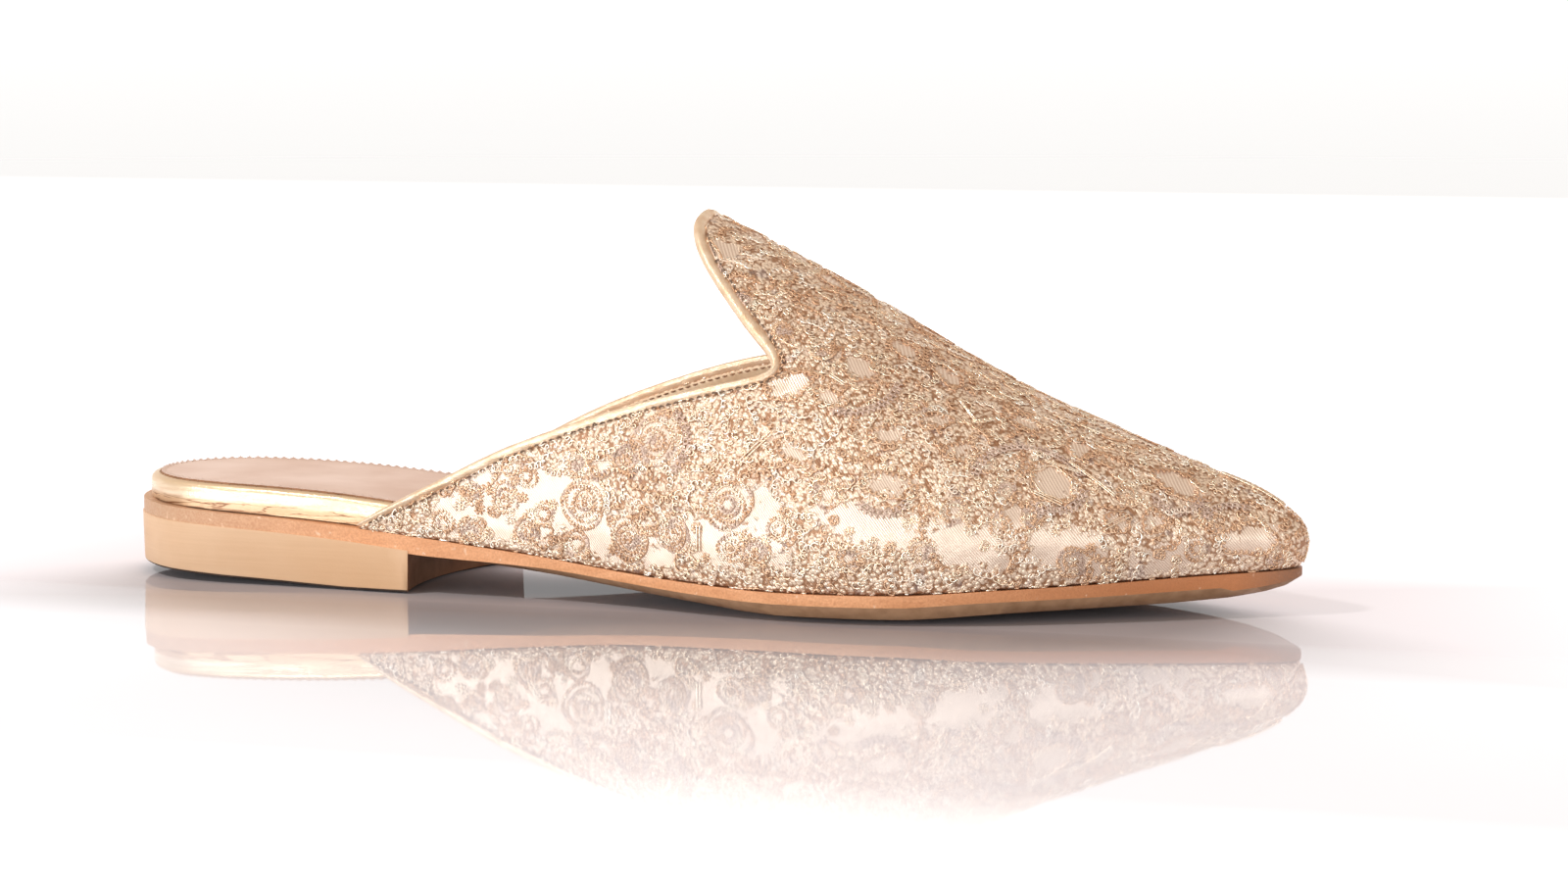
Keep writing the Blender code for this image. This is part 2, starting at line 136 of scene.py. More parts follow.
# Sweeps of dull thread round the larger islands
SWEEPS = table(
    "ahead up start end radius_start radius_end",
    (41.7, 52, -10, -100, 9.5, 14), (82, 27, 178, 40, 13.5, 11.5), (84, 29, 5, -110, 7.6, 6.4),
    (107, 27, 0, -125, 6.5, 6), (53, 29, -35, -140, 5.6, 7), (1, 36, 60, -60, 7.2, 8),
    (121, 17.5, 75, 160, 7, 8), (5.5, 73, 20, -110, 4.4, 5),
)
LARGE_ISLAND = 6.0
SWEEP_STRANDS = 2
SWEEP_SPREAD = 1.0
SWEEP_POINTS = 40

# Patches of the skin: found from this far out, or else from near the middle, and reaching this deep
FAR_OUT = 100.0
NEAR_IN = 10.0
PATCH_DEPTH = 6.0
MOST_OUTSIDE = 4.0  # distances from the bare satin are stored up to this

# Stems: two plain cords side by side, from one place to another
STEMS = table(
    "ahead up to_ahead to_up",
    (86.4, 32.7, 96.6, 25.9), (114.2, 28.9, 127.8, 22.5), (81.3, 27.3, 87.1, 24.6), (81.9, 33.1, 89, 30.6),
    (79.7, 40.9, 90.8, 36.8), (36.8, 50.4, 40.4, 48.4), (62.3, 44.9, 67.3, 40.5), (12.4, 19.5, 12.3, 13.5),
    (21.1, 32.7, 27.6, 39.2), (95.4, 19.8, 100, 22.2),
)
STEM_GAP = 0.75
STEM_POINTS = 24
STEM_LIFT = 0.42

# Small curls on the open satin
CURL_SPACING = 3.3
CURL_RADIUS = (0.8, 1.5)
CURL_TURNS = 1.5
CURL_INSIDE = 0.6  # least distance in from the edge of the clearing
CURL_CLEAR = 0.5  # least distance from islands and rosettes

# Chains of small loops that fill the ground between the motifs
CHAIN_TRIES = 12000
CHAIN_SPACING = 2.45
CHAIN_LENGTH = (3.2, 7.5)
CHAIN_STEP = 0.6
CHAIN_BEND = 0.34  # most turn at a step, radians
CHAIN_SHAKE = 0.12
CHAIN_SIZES = (0.75, 1.2)
CHAIN_LIFTS = (0.3, 1.7)
CHAIN_OVERLAP = 0.7  # how far a chain may reach into the bare satin
LOOP_PITCH = 1.4
LOOP_SIZE = 0.62
LOOP_POINTS = 8
RIM_PITCH = 1.3
RIM_LOOP = 0.42
RIM_OUT = 0.5
PLAIN_RIM_IN = 0.3
RIM_POINTS = 60
ROSETTE_PITCH = 0.85
ROSETTE_LOOP = 0.34
CURL_LOOP = ROSETTE_LOOP * 0.9
ROSETTE_STEP = 1.25
ROSETTE_MIDDLE = 0.3
RING_POINTS = 18  # to a turn
LEAST_RING = 14
UNEVEN = 0.07  # share of the radius
ROSETTE_SHAKE = 0.07
ROSETTE_LIFTS = (0.7, 1.4)
ROSETTE_RUN = 20  # points before the thread may change
ROSETTE_SHARES = (0.45, 0.39, 0.16)
SPIRAL_SHARE = 0.4

# Cords: radii, heights above the skin, and how thick and thin the twist makes them
CORD_RADIUS = 0.23
THREAD_RADIUS = 0.2
ROSETTE_THREAD = THREAD_RADIUS * 0.9
STEM_THREAD = THREAD_RADIUS * 1.1
PLAIN_RIM_THREAD = THREAD_RADIUS * 1.2
CORD_LIFT = 0.2
RIM_LIFT = CORD_LIFT * 1.3
SWEEP_LIFT = CORD_LIFT * 1.7
TWIST_THICK = 1.12
TWIST_THIN = 0.78
END_THIN = 0.5
LEAST_POINTS = 4
OFF_SKIN = 0.25  # a point this far past the skin's edge breaks the cord

# Stitches along the binding
TOPLINE_STITCH = 1.8
BARE_ENDS = 2  # stitches left out at each back corner
STITCH_RUN = (-0.55, 0.55)
STITCH_LIFTS = (0.1, 0.4, 0.5, 0.4, 0.1)
SEAM_RADIUS = 0.24
INWARD = Vector((1, 0, -0.3))  # from every part of the topline, this leads into the upper
WALK_STEP = 0.15
MOST_STEPS = 40
CLEAR_STEPS = 3  # steps out from under the binding
COVER_REACH = 4.0  # how high above the skin the binding is looked for

# Sock lining and its stitches
SOCK_STITCH = 2.2
SOCK_POINTS = 4  # outline points to a stitch
SOCK_INSET = 1.4  # from the flat top of the wrapped footbed
SOCK_ABOVE = 5.0  # the sock is dropped onto the footbed from this height
# The ring marked cut takes the brown cut-edge colour, which also paints the thin line of shade round the
# sock's edge.
SOCK_RINGS = table(
    "inset high pucker cut",
    (0, 0.02, 0, 0),
    (0.15, 0.45, 0.1, 1),
    (0.25, 0.85, 0.58, 0),
    (0.4, 0.7, 0.44, 0),
    (0.6, 0.38, 0.05, 0),
)
SOCK_THREAD_RADIUS = 0.16
SOCK_THREAD = table(
    "inset high",
    (-0.4, 0.08), (0.0, 0.32), (0.35, 0.42), (0.8, 0.4), (1.15, 0.44),
)
SOCK_GRID = (3.0, 5.0)

# The binding is drawn down onto whatever edge lies this near
BINDING_REACH = 1.4
BINDING_LAP = 0.12

# The back ends of the upper and its binding are drawn back along the sole
BACK_START = -42.0
BACK_LENGTH = 24.0
BACK_REACH = 4.0

# The bottom of the sole is fuller just behind its tip, and rounder at the tip itself
TOE_DROP = table(
    "ahead drop",
    (78, 0), (95, 0.5), (108, 0.9), (118, 0.9), (125, 0.4), (129, -0.2), (133, -1.2),
)

# The heel is let up into the sole by this much, and stands this far out from it there
HEEL_LAP = 1.1
HEEL_PROUD = 0.3

# Rounding of the edges
SOLE_EDGE = 0.35
HEEL_EDGE = 0.3
UPPER_CREASE = 0.9

# Middle of the foot room: it swings aside towards the toe, and ends short of it
ROOM_END = 104.0
ROOM_ASIDE = 6.0 / 130.0
ROOM_UP = 18.0


def display(red, green, blue):
    """Linear colour of a display colour, 0 to 255."""
    shares = np.array([red, green, blue]) / 255
    linear = np.where(shares <= 0.04045, shares / 12.92, ((shares + 0.055) / 1.055) ** 2.4)
    return (*linear.tolist(), 1.0)


# ---------------------------------------------------------------- shader parts


def plug(tree, node, sockets):
    """Feeds a node's sockets, each with a value or with another node's output."""
    for key, value in sockets.items():
        if isinstance(value, bpy.types.NodeSocket):
            tree.links.new(value, node.inputs[key])
        else:
            node.inputs[key].default_value = value


def put(tree, kind, sockets=None, **settings):
    """Adds a shader node."""
    made = tree.nodes.new("ShaderNode" + kind)
    for name, value in settings.items():
        setattr(made, name, value)
    plug(tree, made, sockets or {})
    return made


def figure(tree, operation, first, second=0.0):
    return put(tree, "Math", {0: first, 1: second}, operation=operation).outputs[0]


def mixed(tree, share, *colours):
    """Mix of two colours; three numbers are a display colour, and four a linear one."""
    first, second = (display(*at) if isinstance(at, tuple) and len(at) == 3 else at for at in colours)
    return put(tree, "Mix", {0: share, 6: first, 7: second}, data_type="RGBA").outputs[2]


def spread(tree, value, low, high, to_low=0.0, to_high=1.0):
    made = put(tree, "MapRange", {0: value, 1: low, 2: high, 3: to_low, 4: to_high})
    return made.outputs[0]


def clouds(tree, place, scale, detail):
    """Soft noise."""
    return put(tree, "TexNoise", {"Vector": place, "Scale": scale, "Detail": detail}).outputs["Fac"]


def stretched(tree, place, *scale):
    return put(tree, "Mapping", {"Vector": place, "Scale": scale}).outputs[0]


def ahead_of(tree, place):
    """How far along the shoe a point lies, in metres."""
    return put(tree, "SeparateXYZ", {0: place}).outputs["X"]


def group_named(name, inputs, outputs):
    """Empty node group with its sockets, and its two end nodes."""
    group = bpy.data.node_groups.new(name, "ShaderNodeTree")
    for socket, kind, value in inputs:
        made = group.interface.new_socket(socket, in_out="INPUT", socket_type="NodeSocket" + kind)
        if value is not None:
            made.default_value = value
    for socket, kind in outputs:
        group.interface.new_socket(socket, in_out="OUTPUT", socket_type="NodeSocket" + kind)
    return group, group.nodes.new("NodeGroupInput").outputs, group.nodes.new("NodeGroupOutput").inputs


def leather_grain_group():
    """Pores and fine folds: Height for a bump, Tone for slow changes of colour."""
    group, given, result = group_named(
        "leather_grain",
        (("Vector", "Vector", None), ("Grain Size", "Float", 0.0006), ("Fold Size", "Float", 0.006)),
        (("Height", "Float"), ("Tone", "Float")),
    )
    per_grain = figure(group, "DIVIDE", 1.0, given["Grain Size"])
    per_fold = figure(group, "DIVIDE", 1.0, given["Fold Size"])
    pores = put(group, "TexVoronoi", {"Vector": given["Vector"], "Scale": per_grain, "Randomness": 0.9})
    folds = clouds(group, given["Vector"], per_fold, 5.0)
    pore_depth = figure(group, "MULTIPLY", pores.outputs["Distance"], 0.45)
    group.links.new(figure(group, "ADD", pore_depth, folds), result["Height"])
    group.links.new(folds, result["Tone"])
    return group


def glint_group():
    """Uneven wrap of a metal thread: Tone picks between its colours, Height is the fine twist."""
    group, given, result = group_named(
        "thread_glint",
        (("Vector", "Vector", None), ("Patch Size", "Float", 0.0035), ("Twist Size", "Float", 0.0005)),
        (("Tone", "Float"), ("Height", "Float")),
    )
    patch = clouds(group, given["Vector"], figure(group, "DIVIDE", 1.0, given["Patch Size"]), 2.0)
    twist = clouds(group, given["Vector"], figure(group, "DIVIDE", 1.0, given["Twist Size"]), 1.0)
    group.links.new(spread(group, figure(group, "ADD", patch, twist), 0.75, 1.25), result["Tone"])
    group.links.new(twist, result["Height"])
    return group


def boucle_group():
    """Tight metal loops: Tone and Height rise from the pits to the loops, Tone also serving to paint shade
    into the pits, and Shade drifts slowly.
    """
    group, given, result = group_named(
        "boucle_ground",
        (("Vector", "Vector", None), ("Loop Size", "Float", 0.0009)),
        (("Tone", "Float"), ("Height", "Float"), ("Shade", "Float")),
    )
    per_loop = figure(group, "DIVIDE", 1.0, given["Loop Size"])
    per_bend = figure(group, "MULTIPLY", per_loop, 0.6)
    bend = put(group, "TexNoise", {"Vector": given["Vector"], "Scale": per_bend}).outputs["Color"]
    drift = put(group, "VectorMath", {0: bend, 3: 0.0012}, operation="SCALE").outputs[0]
    place = put(group, "VectorMath", {0: given["Vector"], 1: drift}, operation="ADD").outputs[0]
    loops = put(group, "TexVoronoi", {"Vector": place, "Scale": per_loop, "Randomness": 1.0})
    height = spread(group, loops.outputs["Distance"], 0.0, 0.75, 1.0, 0.0)
    group.links.new(spread(group, height, 0.05, 0.45), result["Tone"])
    group.links.new(height, result["Height"])
    group.links.new(clouds(group, given["Vector"], 260.0, 2.0), result["Shade"])
    return group


LEATHER_GRAIN = leather_grain_group()
THREAD_GLINT = glint_group()
BOUCLE = boucle_group()


def grain_of(tree, place, grain, fold):
    """The shared leather grain, with its sizes in millimetres."""
    sizes = {"Vector": place, "Grain Size": grain * MM, "Fold Size": fold * MM}
    return put(tree, "Group", sizes, node_tree=LEATHER_GRAIN).outputs


def material_named(name):
    material = bpy.data.materials.new(name)
    material.use_nodes = True
    tree = material.node_tree
    shader = tree.nodes["Principled BSDF"]
    place = tree.nodes.new("ShaderNodeTexCoord").outputs["Object"]
    return material, tree, shader, place


def bumped(tree, shader, height, depth):
    """Bump of this depth in millimetres."""
    bump = put(tree, "Bump", {"Height": height, "Distance": depth * MM, "Strength": 1.0})
    tree.links.new(bump.outputs["Normal"], shader.inputs["Normal"])


def leather(name, light, dark, roughness, metallic=0.0, grain=0.6, fold=6.0, depth=0.06, specular=0.5):
    """Plain leather; grain and fold sizes and depth in millimetres."""
    material, tree, shader, place = material_named(name)
    texture = grain_of(tree, place, grain, fold)
    tone = spread(tree, texture["Tone"], 0.3, 0.7)
    looks = {
        "Base Color": mixed(tree, tone, dark, light),
        "Roughness": spread(tree, tone, 0, 1, roughness + 0.06, roughness - 0.06),
        "Metallic": metallic,
        "Specular IOR Level": specular,
    }
    plug(tree, shader, looks)
    bumped(tree, shader, texture["Height"], depth)
    return material


def satin_cloth():
    """Champagne satin with drawn threads, and gold loops where the embroidery covers it, with shade painted
    dark brown into the pits between the loops.
    """
    material, tree, shader, place = material_named("champagne_satin")
    outside = put(tree, "Attribute", attribute_name="outside").outputs["Fac"]
    ragged = spread(tree, clouds(tree, place, 520.0, 3.0), 0.3, 0.7, -2.0, 1.8)
    worked = spread(tree, figure(tree, "ADD", outside, ragged), -0.3, 0.4)
    slanted = put(tree, "Mapping", {"Vector": place, "Rotation": (0.0, math.radians(38), 0.0)}).outputs[0]
    drawn = {"Vector": slanted, "Scale": 700.0, "Distortion": 1.2, "Detail": 2.0, "Detail Scale": 3.0}
    threads = put(tree, "TexWave", drawn, bands_direction="X").outputs["Fac"]
    boucle = put(tree, "Group", {"Vector": place}, node_tree=BOUCLE).outputs
    satin = mixed(tree, threads, (218, 187, 164), (248, 225, 205))
    # Painted shade: the pits between the loops are painted dark brown, in the gold loops and in the dull
    # ones.
    loops = mixed(tree, boucle["Tone"], (168, 122, 90), (247, 220, 194))
    dull = mixed(tree, boucle["Tone"], (152, 122, 108), (232, 208, 190))
    ground = mixed(tree, spread(tree, boucle["Shade"], 0.6, 0.7), loops, dull)
    looks = {
        "Base Color": mixed(tree, worked, satin, ground),
        "Roughness": spread(tree, worked, 0, 1, 0.34, 0.36),
        "Metallic": 0.45,
    }
    plug(tree, shader, looks)
    weave = figure(tree, "MULTIPLY", threads, 0.15)
    drape = figure(tree, "MULTIPLY", clouds(tree, place, 110.0, 2.0), 3.0)
    relief = figure(tree, "MULTIPLY", boucle["Height"], worked)
    bumped(tree, shader, figure(tree, "ADD", figure(tree, "ADD", weave, drape), relief), 0.3)
    return material


def metal_thread(name, light, dark, roughness, metallic, coat=0.0):
    """Metal-wrapped or dull thread."""
    material, tree, shader, place = material_named(name)
    glint = put(tree, "Group", {"Vector": place}, node_tree=THREAD_GLINT).outputs
    looks = {
        "Base Color": mixed(tree, glint["Tone"], dark, light),
        "Roughness": spread(tree, glint["Tone"], 0, 1, roughness + 0.12, roughness - 0.06),
        "Metallic": metallic,
        "Coat Weight": coat,
        "Coat Roughness": 0.16,
    }
    plug(tree, shader, looks)
    bumped(tree, shader, glint["Height"], 0.12)
    return material


def sole_edge_leather():
    """Stained edge of the sole: tan at the back, browner to the toe, painted darker at the very tip as shade
    where it turns away from the light, with a fine grain and pale flecks.
    """
    material, tree, shader, place = material_named("stained_sole_edge")
    ahead = ahead_of(tree, place)
    layers = clouds(tree, stretched(tree, place, 120.0, 120.0, 500.0), 1.0, 6.0)
    grains = clouds(tree, place, 2200.0, 3.0)
    flecks = clouds(tree, place, 640.0, 4.0)
    stain = mixed(tree, spread(tree, layers, 0.3, 0.7), (216, 150, 104), (236, 172, 126))
    stain = mixed(tree, spread(tree, ahead, -0.122, -0.07), (194, 158, 128), stain)
    stain = mixed(tree, spread(tree, ahead, 0.045, 0.1, 0.0, 0.9), stain, (188, 118, 74))
    # Painted shade: the edge is darker at the very tip, where it turns away from the light.
    stain = mixed(tree, spread(tree, ahead, 0.12, 0.13), stain, (142, 102, 78))
    stain = mixed(tree, spread(tree, grains, 0.35, 0.7, 0.0, 0.45), stain, (176, 112, 72))
    stain = mixed(tree, spread(tree, flecks, 0.66, 0.72, 0.0, 0.5), stain, (240, 206, 176))
    plug(tree, shader, {"Base Color": stain, "Roughness": 0.5, "Specular IOR Level": 0.3})
    bumped(tree, shader, figure(tree, "ADD", grain_of(tree, place, 0.4, 4)["Height"], grains), 0.08)
    return material


def heel_stack():
    """Pale stacked leather with faint level marks, warmer to the front."""
    material, tree, shader, place = material_named("pale_heel_stack")
    layers = clouds(tree, stretched(tree, place, 45.0, 45.0, 1600.0), 1.0, 4.0)
    texture = grain_of(tree, place, 0.5, 9)
    uneven = spread(tree, texture["Tone"], 0.3, 0.7, 0.0, 0.35)
    front = spread(tree, ahead_of(tree, place), -0.125, -0.07, 0.0, 0.6)
    colour = mixed(tree, spread(tree, layers, 0.2, 0.8), (203, 162, 127), (214, 175, 139))
    colour = mixed(tree, uneven, colour, (218, 184, 152))
    colour = mixed(tree, front, colour, (203, 155, 111))
    plug(tree, shader, {"Base Color": colour, "Roughness": 0.5})
    bumped(tree, shader, texture["Height"], 0.04)
    return material


def wrap_leather():
    """Gold foil leather with its shade painted in: a tan fold under the sock, tan low on the side, duller
    cream forward of the back end, and fine dark creases low down; the side between stays bright.
    """
    material, tree, shader, place = material_named("gold_foil_leather")
    down = put(tree, "Attribute", attribute_name="down").outputs["Fac"]
    drawn = stretched(tree, place, 55.0, 55.0, 520.0)
    folds = {"Vector": drawn, "Scale": 1.0, "Detail": 4.0, "Distortion": 0.6}
    creases = put(tree, "TexNoise", folds).outputs["Fac"]
    tone = spread(tree, creases, 0.35, 0.65)
    speckle = spread(tree, clouds(tree, place, 700.0, 3.0), 0.35, 0.65, 0.5, 1.0)
    # Painted shade: forward of the back end the foil is painted duller cream.
    painted_shade_forward = figure(tree, "MULTIPLY", spread(tree, ahead_of(tree, place), -0.11, -0.094), speckle)
    wavy = figure(tree, "ADD", down, spread(tree, creases, 0.3, 0.7, -0.5, 0.5))
    low = spread(tree, wavy, 3.0, 4.0)
    away = figure(tree, "ABSOLUTE", figure(tree, "SUBTRACT", creases, 0.5))
    # Painted shade: fine dark lines in the creases low down.
    dark = figure(tree, "MULTIPLY", low, spread(tree, away, 0.03, 0.0))
    foil = mixed(tree, tone, (230, 200, 166), (248, 228, 200))
    foil = mixed(tree, painted_shade_forward, foil, (216, 186, 150))
    # Painted shade: tan on the fold just under the sock and low on the side, above and below the bright
    # middle of the side.
    foil = mixed(tree, spread(tree, wavy, 0.7, 1.3), (228, 196, 160), foil)
    foil = mixed(tree, figure(tree, "MULTIPLY", low, 0.7), foil, (224, 182, 138))
    foil = mixed(tree, dark, foil, (140, 84, 48))
    rough_low = figure(tree, "MULTIPLY", low, 0.15)
    looks = {
        "Base Color": foil,
        "Metallic": spread(tree, low, 0, 1, 0.5, 0.25),
        "Roughness": figure(tree, "ADD", spread(tree, tone, 0, 1, 0.4, 0.26), rough_low),
    }
    plug(tree, shader, looks)
    pores = figure(tree, "MULTIPLY", grain_of(tree, place, 0.5, 5)["Height"], 0.3)
    bumped(tree, shader, figure(tree, "ADD", creases, pores), 0.25)
    return material


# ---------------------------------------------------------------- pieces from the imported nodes


def merged_copy(node):
    """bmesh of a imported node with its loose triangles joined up."""
    bm = bmesh.new()
    bm.from_mesh(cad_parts[node].data)
    bmesh.ops.remove_doubles(bm, verts=bm.verts, dist=MERGE)
    bm.normal_update()
    return bm


def object_from(bm, name, *materials):
    mesh = bpy.data.meshes.new(name)
    bm.to_mesh(mesh)
    bm.free()
    return object_of(mesh, name, *materials)


def object_of(mesh, name, *materials):
    made = bpy.data.objects.new(name, mesh)
    bpy.context.scene.collection.objects.link(made)
    for material in materials:
        mesh.materials.append(material)
    mesh.shade_smooth()
    return made


def finished(piece, *nodes, slot=None):
    """The piece rides on the shoe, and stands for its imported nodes."""
    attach(piece, "root")
    if nodes:
        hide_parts(*nodes)
    return piece


def evaluated_mesh(piece):
    graph = bpy.context.evaluated_depsgraph_get()
    return bpy.data.meshes.new_from_object(piece.evaluated_get(graph))


def surface_of(piece):
    """The finished surface of a piece, for finding places on it."""
    return BVHTree.FromObject(piece, bpy.context.evaluated_depsgraph_get())


def softened(piece, width):
    """Rounds the sharp edges; the width is in millimetres."""
    piece.data.set_sharp_from_angle(angle=SHARP)
    edge = piece.modifiers.new("soft_edges", "BEVEL")
    edge.width = width * MM
    edge.segments = 2
    edge.limit_method = "ANGLE"
    edge.angle_limit = SHARP
    edge.harden_normals = True


def rounded(piece, levels):
    smooth = piece.modifiers.new("rounded", "SUBSURF")
    smooth.levels = levels
    smooth.render_levels = levels


def make_outsole():
    """Sole with a stained edge, a waxed bevel under the forepart and a plain tread."""
    bm = merged_copy("outsole")
    for face in bm.faces:
        if face.normal.z < -TREAD_DOWN:
            face.material_index = 2
        elif face.normal.z < -BEVEL_DOWN:
            face.material_index = 1
    for vertex in bm.verts:
        if vertex.normal.z < -TOE_DROP_DOWN:
            vertex.co.z -= np.interp(vertex.co.x / MM, TOE_DROP["ahead"], TOE_DROP["drop"]) * MM
    bevel = leather("waxed_bevel", (184, 142, 108), (156, 116, 84), 0.45, fold=3, depth=0.05)
    tread = leather("sole_leather", (158, 122, 94), (132, 100, 76), 0.6, fold=14, specular=0.2)
    piece = object_from(bm, "leather_outsole", sole_edge_leather(), bevel, tread)
    softened(piece, SOLE_EDGE)
    return finished(piece, "outsole", slot="sole_leather")


def make_heel():
    """Heel let up into the sole, with a dark breast and a dark top piece, the top piece's darkness partly
    painted shade for the floor's reflection under the heel.
    """
    bm = merged_copy("heel")
    front = max(vertex.co.x for vertex in bm.verts) - BREAST_DEPTH * MM
    for face in bm.faces:
        if face.normal.x > BREAST_FORWARD and face.calc_center_median().x > front:
            face.material_index = 1
        elif face.normal.z < -HEEL_FLAT:
            face.material_index = 2
    seat = {vertex for face in bm.faces if face.normal.z > HEEL_FLAT for vertex in face.verts}
    for vertex in seat:
        outward = Vector((vertex.normal.x, vertex.normal.y, 0))
        if outward.length > SEAT_RIM:
            vertex.co += outward.normalized() * HEEL_PROUD * MM
        vertex.co.z += HEEL_LAP * MM
    breast = leather("dark_breast", (168, 118, 86), (140, 94, 66), 0.6, depth=0.05, specular=0.2)
    # Dark top piece: partly its own colour, partly painted shade so that the floor reflects a dark contact
    # shade under the heel.
    tread = leather("heel_tread", (92, 74, 64), (72, 58, 50), 0.7, specular=0.2)
    piece = object_from(bm, "heel_block", heel_stack(), breast, tread)
    softened(piece, HEEL_EDGE)
    return finished(piece, "heel", slot="heel_stack")


def footbed_top():
    """Flat top of the footbed as a bmesh."""
    bm = merged_copy("footbed")
    low = [face for face in bm.faces if face.normal.z < FOOTBED_FLAT]
    bmesh.ops.delete(bm, geom=low, context="FACES")
    return bm


def make_footbed():
    """Footbed; the distance down from its flat top is stored for the wrap's material."""
    bm = merged_copy("footbed")
    top = footbed_top()
    tree = BVHTree.FromBMesh(top)
    top.free()
    layer = bm.verts.layers.float.new("down")
    for vertex in bm.verts:
        vertex[layer] = tree.find_nearest(vertex.co)[3] / MM
    piece = object_from(bm, "wrapped_footbed", wrap_leather())
    piece.data.set_sharp_from_angle(angle=SHARP)
    return finished(piece, "footbed", slot="gold_leather")


def drawn_back(bm):
    """Draws the back ends of the quarters further back along the sole."""
    for vertex in bm.verts:
        share = (BACK_START * MM - vertex.co.x) / (BACK_LENGTH * MM)
        vertex.co.x -= BACK_REACH * MM * min(max(share, 0.0), 1.0) ** 2


def make_binding(upper):
    """Gold leather folded over the topline, drawn down onto the upper."""
    bm = merged_copy("topline_binding")
    drawn_back(bm)
    wall = surface_of(upper)
    for vertex in bm.verts:
        place, _, _, away = wall.find_nearest(vertex.co)
        step = place - vertex.co
        if away < BINDING_REACH * MM and step.dot(vertex.normal) > 0:
            vertex.co += step * (1 + BINDING_LAP * MM / away)
    gold = leather("binding_foil", (238, 212, 184), (220, 182, 146), 0.37, 0.42, 0.4, 2.5, 0.12)
    piece = object_from(bm, "rolled_binding", gold)
    rounded(piece, 1)
    return finished(piece, "topline_binding", slot="binding_leather")


# ---------------------------------------------------------------- upper


def room_point(place):
    """Point inside the foot room level with a place on the wall."""
    ahead = min(place.x, ROOM_END * MM)
    return Vector((ahead, ROOM_ASIDE * max(ahead, 0.0), ROOM_UP * MM))


def make_upper():
    """Wall of satin outside and lining inside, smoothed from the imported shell."""
    bm = merged_copy("upper")
    drawn_back(bm)
    bmesh.ops.join_triangles(
        bm, faces=bm.faces, angle_face_threshold=FACE_JOIN, angle_shape_threshold=SHAPE_JOIN
    )
    crease = bm.edges.layers.float.new("crease_edge")
    for edge in bm.edges:
        if edge.calc_face_angle(0.0) > SHARP:
            edge[crease] = UPPER_CREASE
    lining = leather("lining_leather", (230, 204, 172), (208, 174, 138), 0.5, 0.1, fold=9)
    shell = object_from(bm, "upper_shell", satin_cloth(), lining)
    rounded(shell, 2)
    mesh = evaluated_mesh(shell)
    mesh.name = "brocade_upper"
    bpy.data.objects.remove(shell)
    for polygon in mesh.polygons:
        away = polygon.center - room_point(polygon.center)
        polygon.material_index = 0 if polygon.normal.dot(away) > 0 else 1
    return finished(object_of(mesh, "brocade_upper"), "upper", slot="brocade")


class Skin:
    """Faces of one material of the upper, for laying cords on."""

    def __init__(self, mesh, material_index):
        faces = [face for face in mesh.polygons if face.material_index == material_index]
        self.areas = np.array([face.area for face in faces])
        self.faces = [tuple(face.vertices) for face in faces]
        self.points = [vertex.co.copy() for vertex in mesh.vertices]
        self.tree = BVHTree.FromPolygons(self.points, self.faces)

    def nearest(self, place):
        return self.tree.find_nearest(place)

    def seen_from(self, side, ahead, up):
        """Place and normal where a level line from the side meets the skin."""
        start = Vector((ahead * MM, side * FAR_OUT * MM, up * MM))
        place, normal, _, _ = self.tree.ray_cast(start, Vector((0, -side, 0)))
        if place is None:
            place, normal, _, _ = self.nearest(Vector((ahead * MM, side * NEAR_IN * MM, up * MM)))
        return place, normal

    def laid(self, points, lift):
        """Longest run of the points that lies on the skin, lifted off it."""
        runs = [[]]
        for point, height in zip(points, np.broadcast_to(lift, len(points))):
            place, normal, _, _ = self.nearest(Vector(point))
            gap = Vector(point) - place
            aside = gap - normal * gap.dot(normal)
            if aside.length > OFF_SKIN * MM:
                runs.append([])
                continue
            runs[-1].append(place + normal * float(height))
        return np.array(max(runs, key=len))


def across(normal, side):
    """Directions on the skin: forward, and up towards the ridge."""
    forward = Vector((1, 0, 0)) - normal * normal.x
    forward.normalize()
    upward = normal.cross(forward) * -side
    return forward, upward


def spun(forward, upward, degrees):
    turn = math.radians(degrees)
    first = forward * math.cos(turn) + upward * math.sin(turn)
    second = upward * math.cos(turn) - forward * math.sin(turn)
    return np.array(first), np.array(second)


class Patch:
    """Oval place on the skin."""

    def __init__(self, skin, side, ahead, up, long, wide, tilt=0.0):
        place, normal = skin.seen_from(side, ahead, up)
        forward, upward = across(normal, side)
        self.centre = np.array(place)
        self.normal = np.array(normal)
        self.first, self.second = spun(forward, upward, tilt)
        self.half_long = long * MM / 2
        self.half_wide = wide * MM / 2

    def outside(self, points):
        """About how far outside the oval the points are, in millimetres; less than 0 inside."""
        away = points - self.centre
        share = np.hypot(away @ self.first / self.half_long, away @ self.second / self.half_wide)
        distance = (share - 1) * min(self.half_long, self.half_wide) / MM
        return np.where(np.abs(away @ self.normal) < PATCH_DEPTH * MM, distance, np.inf)

    def at(self, x, y):
        """Points on the patch's flat, from arrays in millimetres."""
        return self.centre + np.outer(x, self.first) * MM + np.outer(y, self.second) * MM


def clearance(patches, points):
    return np.min([patch.outside(points) for patch in patches], axis=0)


# ---------------------------------------------------------------- cords


